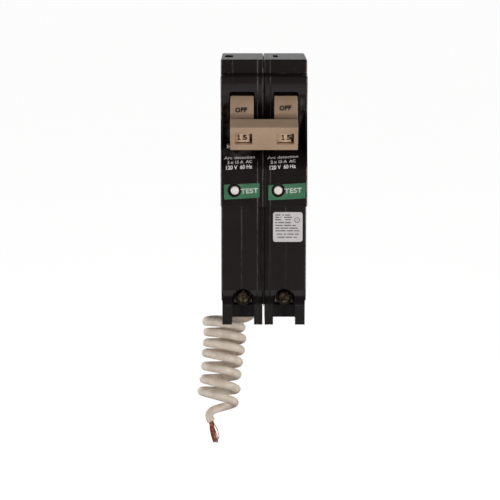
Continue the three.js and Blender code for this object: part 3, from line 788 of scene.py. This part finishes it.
def openings(side):
    s = side
    out = bay(s)
    out.append(bx(s, -14.2, -4.3, -40, -13, -62, -57.7))          # between the legs
    out.append(bx(s, -13.6, -5.0, -33, -29, -52, -43))            # window to the clamp
    out.append(bx(s, -14.6, -3.9, -30.2, -14.6, -55.9, -40.5))    # clamp chamber
    out.append(sweep(fillet(flipped(s, [(-12.4, -25), (-6.3, -25), (-6.3, -18.8), (-12.4, -18.8)]), 0.8, 4), -58, -55, axis="z"))
    out.append(bx(s, -13.9, -5.1, -3, 1, 42.6, 52.6))             # jaw port in the back
    out.append(sweep([(1, -44.5), (-5.8, -44.5), (-5.8, -50.2), (-2.2, -50.2), (-2.2, -49.0), (1, -49.0)], -20, 20))
    x0, x1 = span(s, -14.95, -4.15)
    out.append(sweep(fillet(rect(x0, x1, 25.8, 46.4), 0.8, 4), -62, -40, axis="y"))
    return out


def sinks(side):
    out = []
    for y, z in RIVETS:
        x0, x1 = span(side, -20, -17.85)
        out.append(bar("x", x0, x1, y, z, 2.7, 32))
        x0, x1 = span(side, -19.5, -18.55)
        n = 32
        bmc = bmesh.new()
        # countersink of the head recess
        ra, rb = (2.95, 2.6)
        xa, xb = (-18.97, -18.5) if side < 0 else (18.97, 18.5)
        A = [bmc.verts.new((xa, y + ra * math.cos(2 * math.pi * k / n), z + ra * math.sin(2 * math.pi * k / n))) for k in range(n)]
        B = [bmc.verts.new((xb, y + rb * math.cos(2 * math.pi * k / n), z + rb * math.sin(2 * math.pi * k / n))) for k in range(n)]
        for k in range(n):
            bmc.faces.new((A[k - 1], A[k], B[k], B[k - 1]))
        bmc.faces.new(A)
        bmc.faces.new(list(reversed(B)))
        bmesh.ops.recalc_face_normals(bmc, faces=bmc.faces)
        out.append(bmc)
    return out


def groove(side, x, y, z0, z1, w=0.34):
    """Shallow V along a straight vertical seam on a flat front."""
    x = x if side < 0 else -x
    return sweep([(x - w, y), (x, y - w), (x + w, y), (x, y + w)], z0, z1, axis="z")


def well(side):
    x = BX[side]
    # round recess with a rounded rim
    prof = [(0, 60.5), (3.05, 60.5), (3.05, 59.2), (2.86, 59.15), (2.74, 59.0), (2.7, 58.75), (2.7, 58.3), (2.15, 58.3), (2.15, 50), (0, 50)]
    b = bmesh.new()
    n = 40
    rows = []
    for r, d in prof[1:-1]:
        rows.append([b.verts.new((x + r * math.cos(2 * math.pi * k / n), -d, BZ + r * math.sin(2 * math.pi * k / n))) for k in range(n)])
    for u, v in zip(rows, rows[1:]):
        for k in range(n):
            b.faces.new((u[k - 1], u[k], v[k], v[k - 1]))
    b.faces.new(rows[0])
    b.faces.new(list(reversed(rows[-1])))
    bmesh.ops.recalc_face_normals(b, faces=b.faces)
    return b


for tag, s in (("left", -1), ("right", 1)):
    # outer case: side, perimeter and the escutcheon across the pole
    cuts = []
    top_in = -13.65
    behind = [(2, 46.4)] + [(-53.2, 46.4)] + WALL_IN[4:] + [(-57.4, -3.4), (2, -3.4)]
    if s < 0:
        cuts.append(bx(s, -13.65, 0, -62, 2, 46.4, 62))
        cuts.append(prism(s, [(2, 46.41), (-53.3, 46.41)] + WALL_IN[4:] + [(-57.4, -3.5), (2, -3.5)], -13.65, 0))
    else:
        cuts.append(prism(s, [(-1.8, 58.2)] + WALL_IN + [(-57.4, -3.5), (-1.8, -3.5)], -13.66, -1))
        cuts.append(bx(s, -13.65, 0, -30, 2, -3.5, 46.3))
    cuts.append(bx(s, -9.85, 0, -62, 2, -62, -3.5))
    cuts.append(prism(s, CHAMBER, -17.35, -13.6))
    cuts.append(prism(s, [(-1.8, -2.5), (-41.4, -2.5), (-41.4, -41), (-30.2, -41), (-14.6, -41), (-14.6, -43), (-1.8, -43)], -13.7, -9.0))
    cuts += openings(s) + sinks(s) + [well(s)]
    cuts.append(bx(s, -20, -18.6, -45, 1, -61, -48.5))
    cuts.append(groove(s, -9.86, -43.2, -43.0, -4.4, 0.26))
    if s < 0:
        cuts.append(groove(s, -13.66, -47.5, 54.2, 59.4, 0.26))
        cuts.append(block(-17.3, -13.5, -31, -17, 58.9, 62))
    else:
        cuts.append(block(4.3, 6.4, -31, -17, 58.9, 62))
    b = boolean(prism(s, OUTLINE, -18.95, -2.8, 0.6, 0.3), cuts)
    finish_mesh(f"case_shell_{tag}", b, "breaker_body", CASE, smooth=8, weighted=False, replaces=[f"outer_case_{tag}"])

    # middle frame, behind the escutcheon and beside the load terminal
    cuts = [bx(s, -15, -9.87, -62, 2, -62, -3.5), prism(s, CHAMBER, -15, -2)]
    lead = [(-62, 46.43), (-53.4, 46.43)] + [(y + 0.25, z) for y, z in WALL_IN[4:]] + [(-57.15, -3.7), (-62, -3.7)]
    cuts.append(prism(s, lead, -15, -2))
    if s > 0:
        cuts.append(bx(s, -15, -2, -62, -1.9, 46.2, 62))
        cuts.append(bx(s, -15, -2, -62, 2, 46.2, 62))
    cuts += openings(s)
    cuts.append(groove(s, -9.86, -43.2, -43.0, -4.4, 0.26))
    if s < 0:
        cuts.append(groove(s, -13.66, -47.5, 54.2, 59.4, 0.26))
        cuts.append(bar("z", -60, -42, -3.6, -9.5, 2.25, 28))
    b = boolean(prism(s, OUTLINE, -13.68, -2.8, 0.0, 0.3), cuts, [])
    finish_mesh(f"frame_shell_{tag}", b, "breaker_body", CASE, smooth=8, weighted=False, replaces=[f"mid_frame_{tag}"])

    # inner cover, next to the other pole
    cuts = [sweep([(1, -44.5), (-5.8, -44.5), (-5.8, -50.2), (-2.2, -50.2), (-2.2, -49.0), (1, -49.0)], -20, 20)]
    cuts.append(bx(s, -0.5, 0, -45, 1, -61, -50.5))
    x0, x1 = span(s, -4.6, -2.0)
    cuts.append(bar("x", x0, x1, -45.4, 37.45, 2.1, 24))
    x0, x1 = span(s, -5, 1)
    cuts.append(bar("x", x0, x1, -30, 8, 1.8, 24))
    if s < 0:
        cuts.append(bar("z", -60, -42, -3.6, -9.5, 2.25, 28))
    b = boolean(prism(s, OUTLINE, -2.81, -0.15, 0.3, 0.45), cuts)
    finish_mesh(f"cover_shell_{tag}", b, "breaker_body", CASE, smooth=8, weighted=False, replaces=[f"inner_cover_{tag}"])

# domed rivet heads in their recesses
for i, (y, z) in enumerate(RIVETS):
    b = bar("x", -18.3, 18.3, y, z, 1.3, 24)
    for sd in (-1, 1):
        n = 32
        rows = [(2.3, 18.15), (2.3, 18.4), (2.22, 18.52), (1.9, 18.62), (1.3, 18.70), (0.6, 18.74)]
        rings = [[b.verts.new((sd * xx, y + r * math.cos(2 * math.pi * k / n), z + r * math.sin(2 * math.pi * k / n))) for k in range(n)] for r, xx in rows]
        tip = b.verts.new((sd * 18.75, y, z))
        for u, v in zip(rings, rings[1:]):
            for k in range(n):
                b.faces.new((u[k - 1], u[k], v[k], v[k - 1]))
        for k in range(n):
            b.faces.new((rings[-1][k - 1], rings[-1][k], tip))
        b.faces.new(rings[0])
    finish_mesh(f"rivet_domed_{i + 1}", b, "breaker_body", RIVET, replaces=[f"rivet_{i + 1}"])

# web that closes the parting gap between the poles, above the load end
b = sweep(fillet(rect(-45.6, -1.2, -50.2, 58.7), 0.8, 3), -0.16, 0.16)
finish_mesh("pole_web", b, "breaker_body", CASE)

# --------------------------------------------------------- handles and tie
M_TOGGLE = T((0, -45.4, 37.45)) @ R(30, "X")


def arc(a0, a1, r, n):
    return [(-r * math.cos((a0 + (a1 - a0) * i / n) * DEG), r * math.sin((a0 + (a1 - a0) * i / n) * DEG)) for i in range(n + 1)]


WIN = {"left": (-12.46, -5.15), "right": (5.55, 12.88)}
HANDLE = arc(71, 30, 11, 16) + [(-10.5, 4.75), (-11.6, 4.2), (-13, 4.0), (-19.9, 4.0), (-19.9, -4.0)] + arc(-21.3, -108, 11, 28) + [(2.4, -6), (3.6, -2), (3.6, 2), (1.4, 5.2)]
per = {i: 0.0 for i in range(60)}
per.update({0: 0.5, 16: 0.3, 17: 1.5, 18: 1.2, 19: 1.5, 20: 0.6, 21: 0.6, 22: 0.4})
HANDLE_LINE = fillet(HANDLE, 0.0, 4, per)
for tag, x in (("left", -9.55), ("right", 9.55)):
    edge = WIN[tag][1]
    b = boolean(sweep(HANDLE_LINE, x - 5.1, x + 5.1, 0.45, 0.45),
                [block(edge - 1.25, edge + 0.05, -22, -17.6, -3.2, 3.0), block(WIN[tag][0] + 0.6, edge, -22, -18.2, -3.2, -2.62)])
    b = merge(b, bar("x", x - 6.6, x + 6.6, 0, 0, 1.8, 28, 0.3, 0.3))
    finish_mesh(f"handle_moulded_{tag}", b, "toggle", TAN_DRUM, place=M_TOGGLE, replaces=[f"handle_{tag}"])


for tag, x in (("left", -9.55), ("right", 9.55)):
    b = sweep(clean(arc(68, 112, 10.3, 14) + arc(112, 68, 9.3, 14)), x - 4.9, x + 4.9, 0.2, 0.2)
    finish_mesh(f"drum_skirt_{tag}", b, "toggle", CASE, place=M_TOGGLE)


def on_drum(b, x, theta, r=11.03):
    """Wraps flat lettering round the drum, centred at angle theta above the lever axis."""
    for v in b.verts:
        a = theta * DEG + v.co.z / r
        rr = r - v.co.y
        v.co = Vector((x + v.co.x, -rr * math.cos(a), rr * math.sin(a)))
    return b


for tag, x, th, tilt in (("left", -9.9, 36.5, 1.5), ("right", 9.3, 41.0, 3.0)):
    # angles are in the handle's own frame: off reads above the lever, on below it
    b = on_drum(moved(lettering("OFF", 5.3, 2.2, 0.08, 0.62, 0.05, 1.12, 6), R(-tilt, "Y")), x, th)
    finish_mesh(f"mark_off_{tag}", b, "toggle", INK_DARK, place=M_TOGGLE, weighted=False)
    b = on_drum(moved(lettering("ON", 3.9, 2.2, 0.08, 0.62, 0.05, 1.12, 6), R(-tilt, "Y")), x, -40)
    finish_mesh(f"mark_on_{tag}", b, "toggle", INK_DARK, place=M_TOGGLE, weighted=False)

# tie: a cap across both levers, open at the back, with two windows in its face
TIE = fillet([(-14.9, 6.0), (-21.5, 6.0), (-21.5, -6.0), (-14.9, -6.0)], 0.2, 4, {1: 0.45, 2: 0.45})
cuts = []
for a, c in ((-15.7, -4.15), (4.15, 15.7), (-2.65, 2.65)):
    a = max(a, -13.35) if a < -4 else a
    c = min(c, 13.35) if c > 4 else c
    cuts.append(block(a, c, -20.2, -10, -4.3, 4.3))
for a, c in WIN.values():
    cuts.append(sweep(fillet(rect(a, c, -2.95, 2.75), 0.35, 4), -30, -18, axis="y"))
    # bevelled mouth
    m0 = bmesh.new()
    lo = [m0.verts.new((px, -21.3, pz)) for px, pz in fillet(rect(a, c, -2.95, 2.75), 0.35, 4)]
    hi = [m0.verts.new((px, -21.62, pz)) for px, pz in fillet(rect(a - 0.16, c + 0.16, -3.11, 2.91), 0.5, 4)]
    for i in range(len(lo)):
        m0.faces.new((lo[i - 1], lo[i], hi[i], hi[i - 1]))
    m0.faces.new(lo)
    m0.faces.new(list(reversed(hi)))
    bmesh.ops.recalc_face_normals(m0, faces=m0.faces)
    cuts.append(m0)
cuts.append(bar("x", -20, 20, -19.95, -4.85, 0.85, 20))
b = boolean(sweep(TIE, -14.65, 14.65, 0.32, 0.32), cuts)
finish_mesh("tie_moulded", b, "toggle", TAN, smooth=25, place=M_TOGGLE, replaces=["handle_tie"])
# rating on the lever ends, seen through the windows
def figure_one(w, h, t, thick=0.05):
    """The figure 1 with a flag and a foot."""
    foot = sweep(rect(-w / 2, w / 2, -h / 2, -h / 2 + t * 0.85), -thick, 0.0, axis="y")
    stem = sweep(rect(-t / 2, t / 2, -h / 2 + t * 0.8, h / 2), -thick * 0.98, 0.0, axis="y")
    flag = sweep([(-w / 2, h / 2 - t * 1.9), (-t * 0.4, h / 2 - t * 1.0), (-t * 0.4, h / 2), (-w / 2, h / 2 - t * 1.0)], -thick * 0.96, 0.0, axis="y")
    return merge(foot, stem, flag)


for tag, x, w5 in (("left", -9.5, 1.9), ("right", 9.6, 1.8)):
    b = merge(moved(figure_one(1.5, 2.8, 0.5, 0.09), T((-1.4, 0, 0))), moved(lettering("5", w5 + 0.15, 2.8, 0.0, 0.45, 0.09), T((1.15, 0, 0))))
    b = moved(b, T((x, -19.9, -0.15)), R(-1.5, "Y"))
    finish_mesh(f"mark_rating_{tag}", b, "toggle", INK_BROWN, place=M_TOGGLE, weighted=False)
    a, c = WIN[tag]
    # painted light: a paler tan sheet over each window floor, lifting the shade of the recess
    window_light_sheet = sweep(fillet(rect(a + 0.05, c - 1.15, -2.6, 2.6), 0.25, 3), -19.93, -19.88, 0.02, 0, axis="y", seg=1)
    finish_mesh(f"window_painted_light_{tag}", window_light_sheet, "toggle", TAN_PAINTED_LIGHT, place=M_TOGGLE, weighted=False)
# cross pin with a square upset head
b = merge(bar("x", -15.4, 14.4, -19.95, -4.85, 0.55, 20, 0.0, 0.15),
          sweep(fillet(rect(-20.8, -19.1, -5.7, -4.0), 0.35, 4), -16.1, -14.95, 0.25, 0.15))
finish_mesh("tie_cross_pin", b, "toggle", STEEL, place=M_TOGGLE, replaces=["tie_pin"])

# ------------------------------------------------------ terminal screws
for tag, x, turn in (("left", -9.25, 0), ("right", 9.25, 40)):
    head = sweep(circle(0, 0, 2.9, 40), -38.4, -36.2, 0.8, 0.0, axis="y")
    slot_cut = block(-0.45, 0.45, -40, -37.2, -4, 4)
    b = boolean(head, [slot_cut])
    washer = sweep(circle(0, 0, 4.0, 40), -36.3, -35.4, 0.25, 0.1, axis="y")
    shank = sweep(circle(0, 0, 1.9, 28), -36.4, -26.0, 0.0, 0.4, axis="y")
    # thread ridges
    ridges = []
    for i in range(9):
        ridges.append(sweep(circle(0, 0, 2.08, 28), -34.6 + i * 0.8, -34.2 + i * 0.8, 0.14, 0.14, axis="y"))
    finish_mesh(f"screw_washer_{tag}", washer, f"screw_{tag}", DARK_STEEL, place=T((x, 0, -47.4)))
    b = merge(b, shank, *ridges)
    finish_mesh(f"screw_slotted_{tag}", b, f"screw_{tag}", BRASS_BAY_SHADE, place=T((x, 0, -47.4)) @ R(turn, "Y"), replaces=[f"terminal_screw_{tag}"])

# ---------------------------------------------------------- test buttons
for tag, s in (("left", -1), ("right", 1)):
    prof = [(0.0, -60.0), (0.9, -59.99), (1.35, -59.96), (1.62, -59.88), (1.76, -59.72), (1.82, -59.5), (1.82, -56.6), (2.62, -56.6), (2.7, -56.5), (2.7, -55.5), (2.6, -55.4),
            (1.2, -55.4), (1.2, -52.3), (1.1, -52.2)]
    b = bmesh.new()
    n = 36
    tip = b.verts.new((0, prof[0][1], 0))
    rows = [[b.verts.new((r * math.cos(2 * math.pi * k / n), y, r * math.sin(2 * math.pi * k / n))) for k in range(n)] for r, y in prof[1:]]
    for k in range(n):
        b.faces.new((tip, rows[0][k - 1], rows[0][k]))
    for u, v in zip(rows, rows[1:]):
        for k in range(n):
            b.faces.new((u[k - 1], u[k], v[k], v[k - 1]))
    b.faces.new(list(reversed(rows[-1])))
    finish_mesh(f"button_turned_{tag}", b, f"button_{tag}", WHITE, place=T((BX[s], 0, BZ)), replaces=[f"test_button_{tag}"])

# ----------------------------------------------------------------- labels
BANDS = {"left": [(-17.4, -0.3), (-1.95, 0.6), (-1.95, 7.0), (-17.4, 6.3)], "right": [(1.9, -0.6), (18.1, 0.3), (18.1, 7.1), (1.9, 6.1)]}
for tag, s in (("left", -1), ("right", 1)):
    # the film crosses the parting line, so it bridges it on the plateau
    film = sweep(fillet(BANDS[tag], 0.3, 3), -59.33, -59.2, 0.03, 0, axis="y", seg=1)
    b = boolean(film, [bar("y", -61, -58, BX[s] - (0.25 if s < 0 else 0.0), BZ, 3.0, 40)])
    finish_mesh(f"band_green_{tag}", b, "breaker_body", GREEN, weighted=False, replaces=[f"test_label_{tag}"])
    cx, cz, tilt = (-6.35, 3.6, 3.0) if s < 0 else (12.75, 3.75, 3.9)
    b = moved(lettering("TEST", 7.6, 2.15, 0.0, 0.22, 0.03, 1.04), T((cx, -59.33, cz)), R(-tilt, "Y"))
    finish_mesh(f"mark_test_{tag}", b, "breaker_body", INK_GREEN_WHITE, weighted=False)


def surface_y(z):
    """Front of the ramp at height z."""
    pts = [(p[0], p[1]) for p in OUTLINE if 5 < p[1] < 40 and p[0] < -46]
    pts.sort(key=lambda p: p[1])
    for (y0, z0), (y1, z1) in zip(pts, pts[1:]):
        if z0 <= z <= z1:
            return y0 + (y1 - y0) * (z - z0) / max(1e-9, z1 - z0)
    return -59.2


def along_ramp():
    """Ramp points by distance travelled up from the plateau."""
    zs = [9 + i * 0.1 for i in range(170)]
    out = [(0.0, surface_y(zs[0]), zs[0])]
    for z in zs[1:]:
        y = surface_y(z)
        d = math.hypot(y - out[-1][1], z - out[-1][2])
        out.append((out[-1][0] + d, y, z))
    return out


RAMP = along_ramp()


def on_ramp(b, x, z0, tilt):
    """Lays flat lettering on the ramp with its middle at height z0."""
    s0 = min(RAMP, key=lambda q: abs(q[2] - z0))[0]
    for v in b.verts:
        zz = v.co.z + (v.co.x) * math.tan(tilt * DEG)
        q = s0 + zz
        i = max(1, min(len(RAMP) - 1, next((k for k, r in enumerate(RAMP) if r[0] >= q), len(RAMP) - 1)))
        a, c = RAMP[i - 1], RAMP[i]
        t = (q - a[0]) / max(1e-9, c[0] - a[0])
        y = a[1] + (c[1] - a[1]) * t
        z = a[2] + (c[2] - a[2]) * t
        nrm = Vector((c[2] - a[2], -(c[1] - a[1]))).normalized()   # towards the front
        k = -v.co.y + 0.015
        v.co = Vector((x + v.co.x, y - nrm.x * k, z - nrm.y * k))
    return b


for tag, xc, dz in (("left", -10.7, 0.0), ("right", 8.25, 0.1)):
    for i, (words, w, h, z, dx, sh) in enumerate((
        ("Arc detection", 13.4, 1.7, 17.75, 0.0, 0.0),
        ("2 x 15 A  AC", 10.8, 1.75, 16.05, 0.1, 0.0),
        ("120 V  60 Hz", 11.4, 1.9, 14.05, -0.1, 0.0),
    )):
        b = on_ramp(lettering(words, w, h, sh, 0.08 if i == 0 else 0.3, 0.04, 1.0, 10), xc + dx, z + dz, 3.2 if tag == "left" else 4.2)
        finish_mesh(f"mark_line{i + 1}_{tag}", b, "breaker_body", INK_WHITE, weighted=False)

# rating label: rounded white film with generic grey bars, in place of its print
film = sweep(fillet([(4.15, -21.4), (17.35, -21.4), (17.35, -8.0), (4.15, -8.0)], 1.15, 6), -43.36, -43.2, 0.04, 0, axis="y", seg=1)
finish_mesh("film_rating", film, "breaker_body", PAPER, weighted=False, replaces=["rating_label"])
b = bmesh.new()
rows = [(-9.3, [(5.2, 7.5), (8.3, 9.0), (9.5, 11.9)]), (-10.35, [(5.2, 6.9), (7.4, 7.9), (9.1, 12.6)]), (-11.4, [(5.1, 7.8), (9.6, 12.0)]),
        (-12.7, [(5.2, 6.0), (6.4, 9.0), (9.4, 12.1)]), (-14.0, [(5.2, 8.6), (9.1, 12.3), (12.8, 14.4)]), (-15.2, [(5.2, 7.0), (7.5, 10.9), (11.4, 15.2)]),
        (-16.4, [(5.2, 9.8), (10.3, 13.1), (13.6, 15.9)]), (-17.9, [(5.8, 8.3), (8.9, 10.0), (10.6, 13.4), (13.9, 15.6)]), (-19.3, [(6.1, 9.3), (9.8, 12.7), (13.3, 14.8)])]
for z, cells in rows:
    for a, c in cells:
        sweep(fillet(rect(a, c, z - 0.26, z + 0.26), 0.12, 2), -43.385, -43.355, 0, 0, axis="y", bm=b)
# plain ring and dot marks
for cx, cz, ro in ((14.9, -11.6, 1.25), (6.0, -10.9, 0.0)):
    if ro:
        n = 28
        o0 = [b.verts.new((cx + ro * math.cos(2 * math.pi * k / n), -43.385, cz + ro * math.sin(2 * math.pi * k / n))) for k in range(n)]
        i0 = [b.verts.new((cx + (ro - 0.32) * math.cos(2 * math.pi * k / n), -43.385, cz + (ro - 0.32) * math.sin(2 * math.pi * k / n))) for k in range(n)]
        o1 = [b.verts.new((v.co.x, -43.355, v.co.z)) for v in o0]
        i1 = [b.verts.new((v.co.x, -43.355, v.co.z)) for v in i0]
        for k in range(n):
            b.faces.new((o0[k - 1], o0[k], i0[k], i0[k - 1]))
            b.faces.new((o1[k - 1], i1[k - 1], i1[k], o1[k]))
            b.faces.new((o0[k - 1], o1[k - 1], o1[k], o0[k]))
            b.faces.new((i0[k - 1], i0[k], i1[k], i1[k - 1]))
        sweep(fillet(rect(cx - 0.4, cx + 0.4, cz - 0.12, cz + 0.12), 0.05, 2), -43.385, -43.355, 0, 0, axis="y", bm=b)
finish_mesh("mark_rating_bars", b, "breaker_body", INK_GREY, weighted=False)

# --------------------------------------------------------- stage and light
bm = bmesh.new()
bmesh.ops.create_grid(bm, x_segments=1, y_segments=1, size=60)
me = bpy.data.meshes.new("studio_floor")
bm.to_mesh(me)
bm.free()
floor = link(bpy.data.objects.new("studio_floor", me))
floor.location = (0, 0, -0.40)
k = Mat("floor_pale")
k.color(k.ramp(k.noise(3, 2), [(0.3, (0.90, 0.90, 0.90)), (0.7, (0.94, 0.94, 0.94))]))
k.set(Roughness=0.8, Specular_IOR_Level=0.1)
k.b.inputs["Emission Color"].default_value = (1, 1, 1, 1)
k.b.inputs["Emission Strength"].default_value = 0.9
me.materials.append(k.m)
floor.visible_glossy = False
floor.visible_diffuse = False
floor.visible_shadow = False

world = bpy.data.worlds.new("studio")
world.use_nodes = True
scene.world = world
t = world.node_tree
t.nodes.clear()
out = t.nodes.new("ShaderNodeOutputWorld")
mixw = t.nodes.new("ShaderNodeMixShader")
lp = t.nodes.new("ShaderNodeLightPath")
dim = t.nodes.new("ShaderNodeBackground")
dim.inputs[0].default_value = (1.0, 0.98, 0.97, 1)
dim.inputs[1].default_value = 0.085
pale = t.nodes.new("ShaderNodeBackground")
pale.inputs[0].default_value = (1, 1, 1, 1)
pale.inputs[1].default_value = 1.0
t.links.new(lp.outputs["Is Camera Ray"], mixw.inputs[0])
t.links.new(dim.outputs[0], mixw.inputs[1])
t.links.new(pale.outputs[0], mixw.inputs[2])
t.links.new(mixw.outputs[0], out.inputs[0])


def area(name, loc, aim, size, watts, color=(1, 1, 1), size_y=None):
    li = bpy.data.lights.new(name, "AREA")
    li.shape = "RECTANGLE"
    li.size = size
    li.size_y = size_y or size
    li.energy = watts
    li.color = color
    ob = link(bpy.data.objects.new(name, li))
    ob.location = loc
    ob.rotation_euler = (Vector(aim) - Vector(loc)).to_track_quat("-Z", "Y").to_euler()
    ob.visible_camera = False
    return ob


area("key_right", (0.78, -0.85, 0.06), (0, 0, 0.0), 0.36, 6.4, (1, 0.985, 0.965))
area("key_left", (-0.78, -0.85, 0.02), (0, 0, -0.02), 0.36, 5.4, (1, 0.99, 0.98))
area("low_front", (0.05, -0.75, -0.55), (0, -0.04, 0), 0.4, 1.15)
area("behind_top", (0.0, 0.85, 0.40), (0, 0, 0.05), 0.7, 1.75, (1, 1, 1), 0.35)
area("edge_left", (-0.9, 0.10, 0.02), (0, 0, 0), 0.16, 4.0, (1, 1, 1), 0.8)
area("edge_right", (0.9, 0.10, 0.02), (0, 0, 0), 0.16, 4.0, (1, 1, 1), 0.8)
area("back", (-0.35, 0.9, -0.15), (0, 0, 0), 0.6, 4.0)
